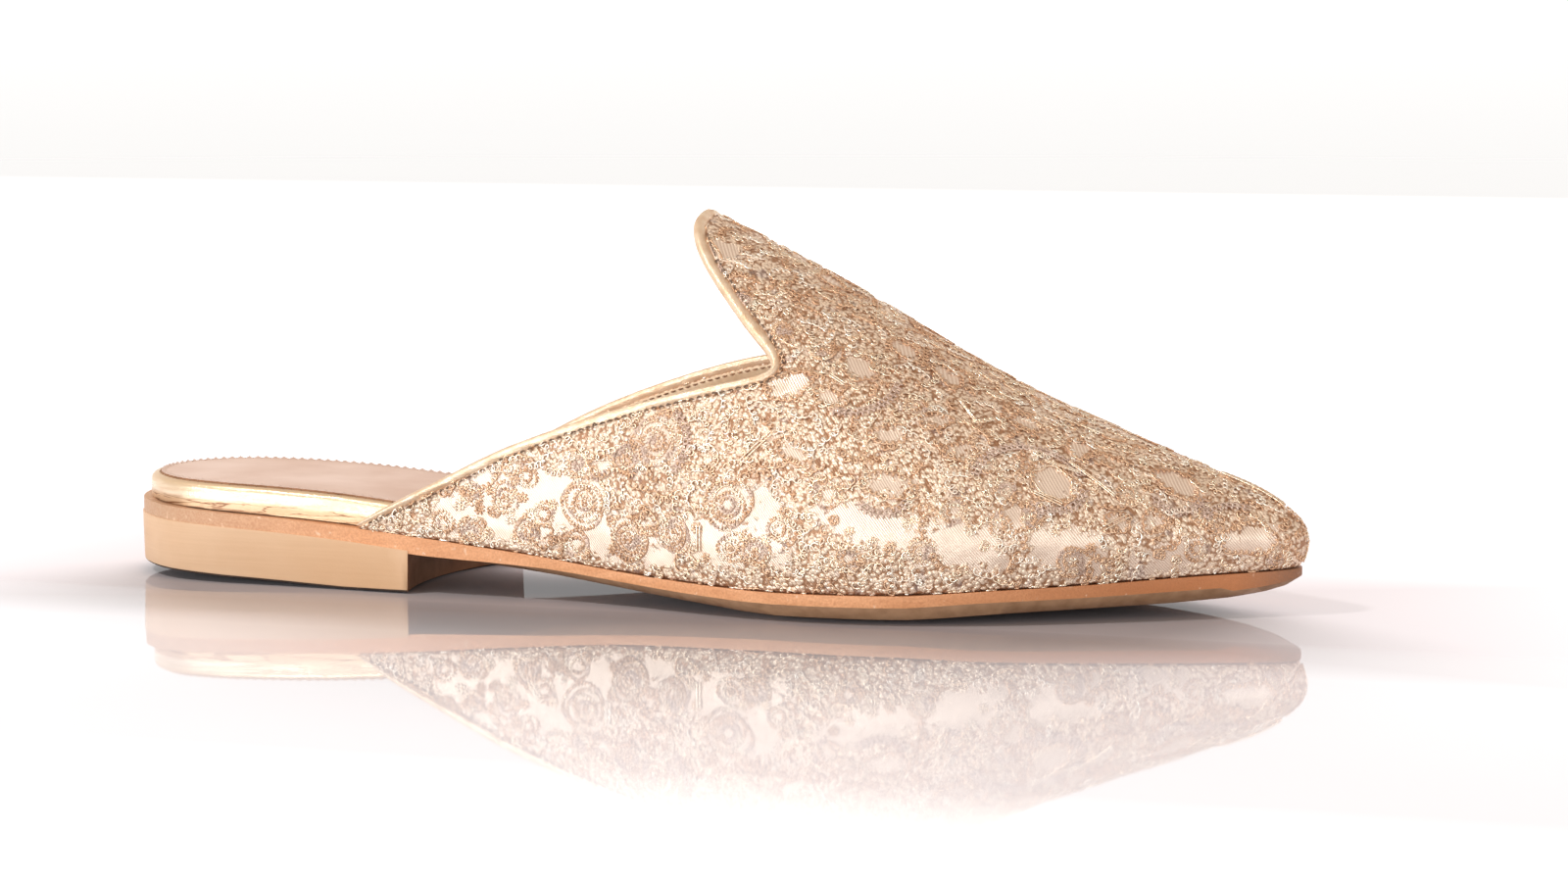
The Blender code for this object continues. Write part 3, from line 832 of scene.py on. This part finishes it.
def cords_piece(name, strands, radius, material):
    """One mesh of many twisted cords, leaving out any that is too short to see."""
    curve = bpy.data.curves.new(name, "CURVE")
    curve.dimensions = "3D"
    curve.bevel_depth = radius * MM
    curve.bevel_resolution = 0
    curve.use_fill_caps = True
    for points in strands:
        if len(points) < LEAST_POINTS:
            continue
        spline = curve.splines.new("POLY")
        spline.points.add(len(points) - 1)
        spline.points.foreach_set("co", np.column_stack([points, np.ones(len(points))]).ravel())
        spline.points.foreach_set("radius", twisted(len(points)))
    drawn = bpy.data.objects.new(name, curve)
    bpy.context.scene.collection.objects.link(drawn)
    mesh = evaluated_mesh(drawn)
    bpy.data.objects.remove(drawn)
    return finished(object_of(mesh, name, material), slot="brocade")


def twisted(count):
    """Thickness along a twisted cord, thin at both ends."""
    thickness = np.where(np.arange(count) % 2 == 0, TWIST_THICK, TWIST_THIN)
    thickness[[0, -1]] *= END_THIN
    return thickness.astype(np.float32)


def looped(guide, size=LOOP_SIZE, pitch=LOOP_PITCH):
    """Flat chain of loops along a flat guide, in millimetres."""
    lengths = np.concatenate([[0.0], np.cumsum(np.hypot(*np.diff(guide, axis=0).T))])
    count = max(2, int(lengths[-1] / pitch * LOOP_POINTS))
    at = np.linspace(0, lengths[-1], count + 1)
    turn = 2 * math.pi * at / pitch
    x = np.interp(at, lengths, guide[:, 0]) + size * np.cos(turn)
    y = np.interp(at, lengths, guide[:, 1]) + size * np.sin(turn)
    return np.column_stack([x, y])


def chain_flat():
    """Flat chain of loops on a gently bent guide about its middle."""
    count = int(CHANCE.uniform(*CHAIN_LENGTH) / CHAIN_STEP) + 1
    bends = CHANCE.uniform(-CHAIN_BEND, CHAIN_BEND) + CHANCE.normal(0, CHAIN_SHAKE, count)
    heading = CHANCE.uniform(0, 2 * math.pi) + np.cumsum(bends)
    guide = np.cumsum(CHAIN_STEP * np.column_stack([np.cos(heading), np.sin(heading)]), axis=0)
    return looped(guide - guide.mean(axis=0), LOOP_SIZE * CHANCE.uniform(*CHAIN_SIZES))


def thinned(places, spacing):
    """The places in order, without any that is nearer than the spacing to one kept before."""
    cells = {}
    left = []
    for place in places:
        x, y, z = (int(at // spacing) for at in place)
        near = [
            other
            for dx in (-1, 0, 1)
            for dy in (-1, 0, 1)
            for dz in (-1, 0, 1)
            for other in cells.get((x + dx, y + dy, z + dz), ())
        ]
        if near and np.abs(np.array(near) - place).max(axis=1).min() < spacing:
            continue
        cells.setdefault((x, y, z), []).append(place)
        left.append(place)
    return np.array(left)


def scattered(skin):
    """Places scattered evenly over the skin."""
    chosen = CHANCE.choice(len(skin.faces), CHAIN_TRIES, p=skin.areas / skin.areas.sum())
    shares = CHANCE.dirichlet((1.0, 1.0, 1.0), CHAIN_TRIES)
    corners = np.array([[skin.points[index] for index in skin.faces[face][:3]] for face in chosen])
    return np.einsum("nk,nkd->nd", shares, corners)


def on_skin(skin, place, flat):
    """A flat outline in millimetres about a place on the skin."""
    _, normal, _, _ = skin.nearest(Vector(place))
    forward, upward = across(normal, OUTER)
    return place + MM * (np.outer(flat[:, 0], forward) + np.outer(flat[:, 1], upward))


def make_chains(skin, patches):
    """Ground of looped chains in three threads."""
    places = scattered(skin)
    places = thinned(places[clearance(patches, places) > 0.0], CHAIN_SPACING * MM)
    flights = [on_skin(skin, place, chain_flat()) for place in places]
    clear = clearance(patches, np.vstack(flights)) > -CHAIN_OVERLAP
    clear = np.split(clear, np.cumsum([len(points) for points in flights])[:-1])
    lifts = CORD_LIFT * MM * CHANCE.uniform(*CHAIN_LIFTS, len(flights))
    strands = [skin.laid(points[open_], lift) for points, open_, lift in zip(flights, clear, lifts)]
    share = CHANCE.uniform(0, 1, len(strands))
    for name, low, high, material in (
        ("gold_chains", 0.0, 0.4, bright_gold),
        ("tan_chains", 0.4, 0.7, tan_gold),
        ("cream_chains", 0.7, 1.0, cream_gold),
    ):
        chosen = [strand for strand, at in zip(strands, share) if low <= at < high]
        cords_piece(name, chosen, CORD_RADIUS, material)


def round_guide(radius, turns=1.0, inner=None):
    """Uneven ring, or a spiral in to the inner radius, from a random start and either way round."""
    turn = np.linspace(0, 2 * math.pi * turns, max(LEAST_RING, int(RING_POINTS * turns)))
    reach = np.linspace(radius, radius if inner is None else inner, len(turn))
    starts = CHANCE.uniform(0, 6, 3)
    reach *= 1 + UNEVEN * np.sin(2 * turn + starts[0]) + UNEVEN * np.sin(3 * turn + starts[1])
    turn += starts[2]
    return np.column_stack([reach * np.cos(turn), reach * np.sin(turn) * CHANCE.choice(SIDES)])


def rosette_guides(radius):
    """Rings from the outside in, or one long spiral in a plain outer ring."""
    if CHANCE.uniform() < SPIRAL_SHARE:
        return [round_guide(radius, radius / ROSETTE_STEP, ROSETTE_MIDDLE), round_guide(radius)]
    return [round_guide(at) for at in np.arange(radius, ROSETTE_MIDDLE, -ROSETTE_STEP)]


def make_rosettes(skin, rosettes):
    """Round motifs of tight small loops in three threads."""
    threads = [[], [], []]
    for patch, radius in rosettes:
        for guide in rosette_guides(radius):
            loops = looped(guide, ROSETTE_LOOP, ROSETTE_PITCH)
            loops += CHANCE.normal(0, ROSETTE_SHAKE, loops.shape)
            lift = CORD_LIFT * MM * CHANCE.uniform(*ROSETTE_LIFTS)
            for run in np.array_split(loops, max(1, len(loops) // ROSETTE_RUN)):
                threads[CHANCE.choice(3, p=ROSETTE_SHARES)].append(skin.laid(patch.at(*run.T), lift))
    cords_piece("rosette_tan", threads[0], ROSETTE_THREAD, tan_gold)
    cords_piece("rosette_gold", threads[1], ROSETTE_THREAD, bright_gold)
    cords_piece("rosette_dull", threads[2], ROSETTE_THREAD, dull_thread)


def make_curls(skin, clearings, motifs):
    """Small curls scattered over the open satin."""
    places = scattered(skin)
    wide = clearance(clearings, places) < -CURL_INSIDE
    free = clearance(motifs, places) > CURL_CLEAR
    threads = [[], []]
    for index, place in enumerate(thinned(places[wide & free], CURL_SPACING * MM)):
        curl = round_guide(CHANCE.uniform(*CURL_RADIUS), CURL_TURNS, ROSETTE_MIDDLE)
        flat = looped(curl, CURL_LOOP, ROSETTE_PITCH)
        threads[index % 2].append(skin.laid(on_skin(skin, place, flat), CORD_LIFT * MM))
    cords_piece("satin_curls_tan", threads[0], ROSETTE_THREAD, tan_gold)
    cords_piece("satin_curls_gold", threads[1], ROSETTE_THREAD, bright_gold)


def make_stems(skin):
    """Pairs of plain cords from place to place."""
    strands = []
    for side in SIDES:
        for row in STEMS:
            start, _ = skin.seen_from(side, row["ahead"], row["up"])
            end, _ = skin.seen_from(side, row["to_ahead"], row["to_up"])
            line = np.linspace(start, end, STEM_POINTS)
            aside = np.cross(end - start, (0, side, 0))
            aside *= STEM_GAP / 2 * MM / np.linalg.norm(aside)
            for way in (-1, 1):
                route = [skin.nearest(Vector(at))[0] for at in line + way * aside]
                strands.append(skin.laid(route, STEM_LIFT * MM))
    cords_piece("stems", strands, STEM_THREAD, bright_gold)


def oval_guide(patch, out):
    """Uneven ring round an oval."""
    turn = np.linspace(0, 2 * math.pi, RIM_POINTS)
    starts = CHANCE.uniform(0, 6, 2)
    uneven = 1 + 0.1 * np.sin(3 * turn + starts[0]) + 0.07 * np.sin(5 * turn + starts[1])
    long = patch.half_long / MM + out
    wide = patch.half_wide / MM + out
    return np.column_stack([uneven * long * np.cos(turn), uneven * wide * np.sin(turn)])


def rim_chain(skin, patch, guide, lift):
    """Chain of small loops on a patch's guide, laid on the skin."""
    return skin.laid(patch.at(*looped(guide, RIM_LOOP, RIM_PITCH).T), lift * MM)


def make_island_rims(skin, islands, clearings):
    """A chain of loops round each island that embroidery closes in, and a plain cord round the large ones."""
    plain = []
    chains = []
    for patch in islands:
        if clearance(clearings, patch.centre[None])[0] < 0:
            continue
        if patch.half_wide > LARGE_ISLAND * MM / 2:
            plain.append(skin.laid(patch.at(*oval_guide(patch, -PLAIN_RIM_IN).T), CORD_LIFT * MM))
        chains.append(rim_chain(skin, patch, oval_guide(patch, RIM_OUT), RIM_LIFT))
    cords_piece("island_rims", plain, PLAIN_RIM_THREAD, bright_gold)
    cords_piece("island_chains", chains, THREAD_RADIUS, tan_gold)


def make_sweeps(skin):
    """Bands of dull looped thread that sweep round the larger islands."""
    strands = []
    for side in SIDES:
        for row in SWEEPS:
            patch = Patch(skin, side, row["ahead"], row["up"], 1, 1)
            turn = np.radians(np.linspace(row["start"], row["end"], SWEEP_POINTS))
            for strand in range(SWEEP_STRANDS):
                out = (strand - (SWEEP_STRANDS - 1) / 2) * SWEEP_SPREAD
                reach = np.linspace(row["radius_start"], row["radius_end"], SWEEP_POINTS) + out
                guide = np.column_stack([reach * np.cos(turn), reach * np.sin(turn)])
                strands.append(rim_chain(skin, patch, guide, SWEEP_LIFT))
    cords_piece("dull_sweeps", strands, THREAD_RADIUS, dull_thread)


def paint_worked(upper, patches):
    """Stores how far each corner lies outside the bare satin, for the satin's material."""
    mesh = upper.data
    points = np.array([vertex.co for vertex in mesh.vertices])
    outside = np.clip(clearance(patches, points), -MOST_OUTSIDE, MOST_OUTSIDE)
    layer = mesh.attributes.new("outside", "FLOAT", "POINT")
    layer.data.foreach_set("value", outside.astype(np.float32))


# ---------------------------------------------------------------- stitched edges


def border_loops(bm, faces):
    """Ordered corner positions of each border of a set of faces."""
    inside = set(faces)
    edges = dict.fromkeys(
        edge
        for face in faces
        for edge in face.edges
        if sum(neighbour in inside for neighbour in edge.link_faces) == 1
    )
    loops = []
    while edges:
        edge, _ = edges.popitem()
        start, corner = edge.verts
        loop = [start.co.copy()]
        while corner is not start:
            loop.append(corner.co.copy())
            edge = next(other for other in corner.link_edges if other in edges)
            del edges[edge]
            corner = edge.other_vert(corner)
        loops.append(loop)
    return sorted(loops, key=len, reverse=True)


def evenly(path, spacing, closed=False):
    """Points along a path at about the spacing, and the directions there."""
    path = np.array(path)
    if closed:
        path = np.vstack([path, path[:1]])
    lengths = np.concatenate([[0.0], np.cumsum(np.linalg.norm(np.diff(path, axis=0), axis=1))])
    count = max(2, round(lengths[-1] / spacing))
    at = np.linspace(0, lengths[-1], count + 1)
    points = np.column_stack([np.interp(at, lengths, path[:, axis]) for axis in range(3)])
    headings = np.gradient(points, axis=0)
    return points, headings / np.linalg.norm(headings, axis=1, keepdims=True)


def topline_path(upper):
    """Upper's edge from the outer back corner over the tongue to the inner back corner."""
    bm = bmesh.new()
    bm.from_mesh(upper.data)
    loop = np.array(border_loops(bm, [face for face in bm.faces if face.material_index == 0])[0])
    bm.free()
    outer = int(np.argmin(np.where(loop[:, 1] < 0, loop[:, 0], np.inf)))
    inner = int(np.argmin(np.where(loop[:, 1] > 0, loop[:, 0], np.inf)))
    loop = np.roll(loop, -outer, axis=0)
    split = (inner - outer) % len(loop)
    first = loop[: split + 1]
    second = np.vstack([loop[split:], loop[:1]])[::-1]
    return first if first[:, 2].max() > second[:, 2].max() else second


def out_from(skin, cover, place, heading, over):
    """Place just out from under the binding, walking over the rim and on over the skin."""
    aim = INWARD - heading * INWARD.dot(heading)
    aim.y += math.copysign(over, place.y)
    clear = 0
    for _ in range(MOST_STEPS):
        _, normal, _, _ = skin.nearest(place)
        way = (aim - normal * aim.dot(normal)).normalized()
        place, normal, _, _ = skin.nearest(place + way * WALK_STEP * MM)
        if cover.ray_cast(place, normal, COVER_REACH * MM)[0] is None:
            clear += 1
        if clear == CLEAR_STEPS:
            break
    return place


def make_stitches(name, skin, path, cover, over, thread):
    """Short stitches along the binding, just clear of it."""
    strands = []
    points, headings = evenly(path, TOPLINE_STITCH * MM)
    lifts = np.array(STITCH_LIFTS) * MM
    for point, heading in zip(points[BARE_ENDS:-BARE_ENDS], headings[BARE_ENDS:-BARE_ENDS]):
        place = out_from(skin, cover, Vector(point), Vector(heading), over)
        run = np.linspace(*STITCH_RUN, len(lifts))[:, None] * MM * heading
        strands.append(skin.laid(np.array(place) + run, lifts))
    cords_piece(name, strands, SEAM_RADIUS, thread)


def sock_face(top):
    """One face with the outline of the sock, a few points to each stitch."""
    border = np.array(border_loops(top, top.faces)[0])
    points, headings = evenly(border, SOCK_STITCH * MM / SOCK_POINTS, closed=True)
    points, headings = points[:-1], headings[:-1]
    inward = np.cross(np.array([0.0, 0.0, 1.0]), headings)
    middle = points.mean(axis=0)
    if np.sum(inward * (middle - points)) < 0:
        inward = -inward
    bm = bmesh.new()
    bm.verts.layers.float.new("high")
    corners = [bm.verts.new(point) for point in points + inward * SOCK_INSET * MM]
    face = bm.faces.new(corners)
    face.normal_update()
    if face.normal.z < 0:
        face.normal_flip()
    return bm, face


def ringed(bm, face):
    """Insets the face by each ring of the sock's edge, and stores each corner's height."""
    high = bm.verts.layers.float["high"]
    for row in SOCK_RINGS:
        if row["inset"]:
            ring = bmesh.ops.inset_region(
                bm, faces=[face], thickness=row["inset"] * MM, use_boundary=True, use_even_offset=True
            )
            for part in ring["faces"]:
                part.material_index = int(row["cut"])
        for index, corner in enumerate(face.verts):
            pucker = row["pucker"] * (0.5 + 0.5 * math.cos(2 * math.pi * index / SOCK_POINTS))
            corner[high] = row["high"] - pucker


def gridded(bm, face):
    """Cuts the face into a grid, so that it can follow the footbed."""
    edge_faces = set(bm.faces) - {face}
    corners = np.array([corner.co for corner in face.verts])
    for axis, step in enumerate(SOCK_GRID):
        for at in np.arange(corners[:, axis].min(), corners[:, axis].max(), step * MM)[1:]:
            middle = [part for part in bm.faces if part not in edge_faces]
            around = dict.fromkeys(item for part in middle for item in (*part.verts, *part.edges))
            place = Vector((0, 0, 0))
            place[axis] = at
            bmesh.ops.bisect_plane(bm, geom=[*middle, *around], plane_co=place, plane_no=place.normalized())


def make_sock_stitches(outline):
    """A stitch over the edge of the sock in each pucker."""
    inward = np.cross((0, 0, 1), np.roll(outline, -1, axis=0) - np.roll(outline, 1, axis=0))
    inward *= np.sign(np.sum(inward * (outline.mean(axis=0) - outline)))
    inward /= np.linalg.norm(inward, axis=1, keepdims=True)
    strands = []
    for point, way in zip(outline[::SOCK_POINTS], inward[::SOCK_POINTS]):
        along = np.outer(SOCK_THREAD["inset"], way)
        along[:, 2] = SOCK_THREAD["high"]
        strands.append(point + along * MM)
    cords_piece("sock_stitches", strands, SOCK_THREAD_RADIUS, sock_thread)


def make_sock_lining():
    """Leather sock stitched down round its edge, with a pucker at each stitch."""
    top = footbed_top()
    tree = BVHTree.FromBMesh(top)
    bm, face = sock_face(top)
    top.free()
    outline = np.array([corner.co for corner in face.verts])
    ringed(bm, face)
    gridded(bm, face)
    high = bm.verts.layers.float["high"]
    for vertex in bm.verts:
        place = tree.ray_cast(vertex.co + Vector((0, 0, SOCK_ABOVE * MM)), Vector((0, 0, -1)))[0]
        if place is None:
            place = tree.find_nearest(vertex.co)[0]
        vertex.co.z = place.z + vertex[high] * MM
    make_sock_stitches(outline)
    nude = leather("nude_leather", (210, 184, 170), (196, 166, 150), 0.6, grain=0.5, fold=16, specular=0.3)
    # Brown cut edge: partly the sock's raw edge, partly a painted line of shade round it.
    cut = leather("cut_edge_and_painted_shade", (150, 106, 76), (118, 80, 54), 0.6, fold=4, specular=0.2)
    return finished(object_from(bm, "sock_lining", nude, cut), slot="gold_leather")


# Threads: name, light and dark colours, roughness, metallic and coat
bright_gold = metal_thread("bright_gold_cord", (252, 235, 212), (243, 204, 167), 0.2, 0.66, 0.6)
tan_gold = metal_thread("tan_gold_cord", (240, 202, 167), (200, 151, 114), 0.28, 0.58, 0.25)
cream_gold = metal_thread("cream_gold_cord", (252, 240, 224), (248, 218, 192), 0.26, 0.55, 0.45)
dull_thread = metal_thread("dull_thread", (228, 200, 182), (186, 153, 134), 0.38, 0.35)
seam_thread = metal_thread("seam_thread", (134, 104, 82), (96, 74, 58), 0.6, 0.0)
sock_thread = metal_thread("sock_thread", (176, 134, 102), (128, 90, 64), 0.5, 0.0)

make_outsole()
make_heel()
make_footbed()
make_sock_lining()
upper = make_upper()
binding = make_binding(upper)
skin = Skin(upper.data, 0)
islands = [Patch(skin, side, *row) for side in SIDES for row in ISLANDS]
rosettes = [
    (Patch(skin, side, ahead, up, 2 * radius, 2 * radius), radius)
    for side in SIDES
    for ahead, up, radius in ROSETTES
]
clearings = [Patch(skin, OUTER, *row) for row in CLEARINGS]
motifs = islands + [patch for patch, _ in rosettes]
paint_worked(upper, motifs + clearings)
make_chains(skin, motifs + clearings)
make_rosettes(skin, rosettes)
make_curls(skin, clearings, motifs)
make_stems(skin)
make_island_rims(skin, islands, clearings)
make_sweeps(skin)
topline = topline_path(upper)
folded = surface_of(binding)
make_stitches("topline_stitches", skin, topline, folded, 1.0, seam_thread)
make_stitches("lining_stitches", Skin(upper.data, 1), topline, folded, -1.0, sock_thread)


# ---------------------------------------------------------------- studio


def make_floor():
    """Glossy grey floor, duller to the camera, with its shadow painted darker under the shoe, and white near
    by and far off.
    """
    bm = bmesh.new()
    bmesh.ops.create_grid(bm, x_segments=1, y_segments=1, size=6.0)
    material, tree, shader, place = material_named("glossy_floor")
    split = put(tree, "SeparateXYZ", {0: place}).outputs
    back = split["Y"]
    near = spread(tree, back, -0.26, -0.12, 0.0, 0.5)
    before = spread(tree, back, -0.08, -0.035, 1.0, 0.02)
    beyond = spread(tree, back, 0.15, 0.5, 0.02, 1.0)
    gloss = figure(tree, "MULTIPLY", near, figure(tree, "MAXIMUM", before, beyond))
    far = spread(tree, back, 0.4, 1.1)
    close = spread(tree, back, -0.28, -0.2, 1.0, 0.0)
    pale = figure(tree, "MAXIMUM", far, close)
    # Painted shadow: the floor's grey is painted darker under and beside the shoe.
    entering = spread(tree, back, -0.075, -0.045)
    leaving = spread(tree, back, 0.03, 0.08, 1.0, 0.0)
    beside = spread(tree, figure(tree, "ABSOLUTE", split["X"]), 0.11, 0.22, 1.0, 0.0)
    under = figure(tree, "MINIMUM", beside, figure(tree, "MINIMUM", entering, leaving))
    ground = mixed(tree, under, FLOOR_GREY, FLOOR_PAINTED_SHADE)
    looks = {
        "Base Color": mixed(tree, pale, ground, WHITE),
        "Roughness": 0.025,
        "Specular IOR Level": gloss,
    }
    plug(tree, shader, looks)
    floor = object_from(bm, "studio_floor", material)
    floor.location.z = -FLOOR_DOWN * MM
    return floor


def make_light(name, place, aim, size, power, shines=True, tint=(1.0, 1.0, 1.0), only=None):
    """Soft rectangular light; it may light only one object, and may leave no reflection."""
    light = bpy.data.lights.new(name, "AREA")
    light.shape = "RECTANGLE"
    light.size, light.size_y = size
    light.energy = power
    light.color = tint
    lamp = bpy.data.objects.new(name, light)
    lamp.location = place
    lamp.visible_glossy = shines
    lamp.visible_camera = False
    lamp.rotation_euler = (Vector(aim) - Vector(place)).to_track_quat("-Z", "Y").to_euler()
    bpy.context.scene.collection.objects.link(lamp)
    if only:
        lit = bpy.data.collections.new(name + "_lights")
        lit.objects.link(only)
        lamp.light_linking.receiver_collection = lit


def make_world():
    """White studio: full white behind and to the eye, dimmer in front and overhead."""
    world = bpy.data.worlds.new("white_studio")
    bpy.context.scene.world = world
    world.use_nodes = True
    tree = world.node_tree
    direction = put(tree, "TexCoord").outputs["Generated"]
    split = put(tree, "SeparateXYZ", {0: direction}).outputs
    level = spread(tree, split["Y"], -0.5, 0.5, SKY_FRONT, SKY_BACK)
    height = spread(tree, split["Z"], 0.12, 0.6)
    light = put(tree, "Mix", {0: height, 2: level, 3: SKY_OVERHEAD}).outputs[0]
    seen = put(tree, "LightPath").outputs["Is Camera Ray"]
    strength = figure(tree, "MAXIMUM", light, figure(tree, "MULTIPLY", seen, SKY_BACK))
    looks = {"Strength": strength, "Color": mixed(tree, height, WHITE, SKY_TINT)}
    plug(tree, tree.nodes["Background"], looks)


def make_camera():
    camera = bpy.data.cameras.new("camera")
    camera.lens = LENS
    camera.sensor_width = 36.0
    camera.clip_start = 0.01
    holder = bpy.data.objects.new("camera", camera)
    holder.location = EYE
    holder.rotation_euler = (math.radians(90 - EYE_DOWN), 0, math.radians(EYE_ROUND))
    bpy.context.scene.collection.objects.link(holder)
    bpy.context.scene.camera = holder


floor = make_floor()
make_world()
make_light("key", (-0.5, -1.25, 0.2), (0, 0, 0.03), (1.6, 0.36), 13.9, tint=COOL)
make_light("low_right", (0.8, -1.15, 0.18), (0.03, 0, 0.015), (0.9, 0.3), 3.6, tint=COOL)
make_light("glint", (-0.6, -0.6, 1.15), (0, 0, 0.03), (0.13, 0.13), 7.5)
make_light("back", BEHIND, (0, 0, 0), WIDE, 30, shines=False)
make_light("floor_back", BEHIND, (0, 0, 0), WIDE, 60, shines=False, only=floor)
make_light("right", (1.3, -0.5, 0.7), (0.05, 0, 0.03), (0.7, 0.7), 1)
make_camera()
bpy.context.scene.view_settings.view_transform = "Standard"
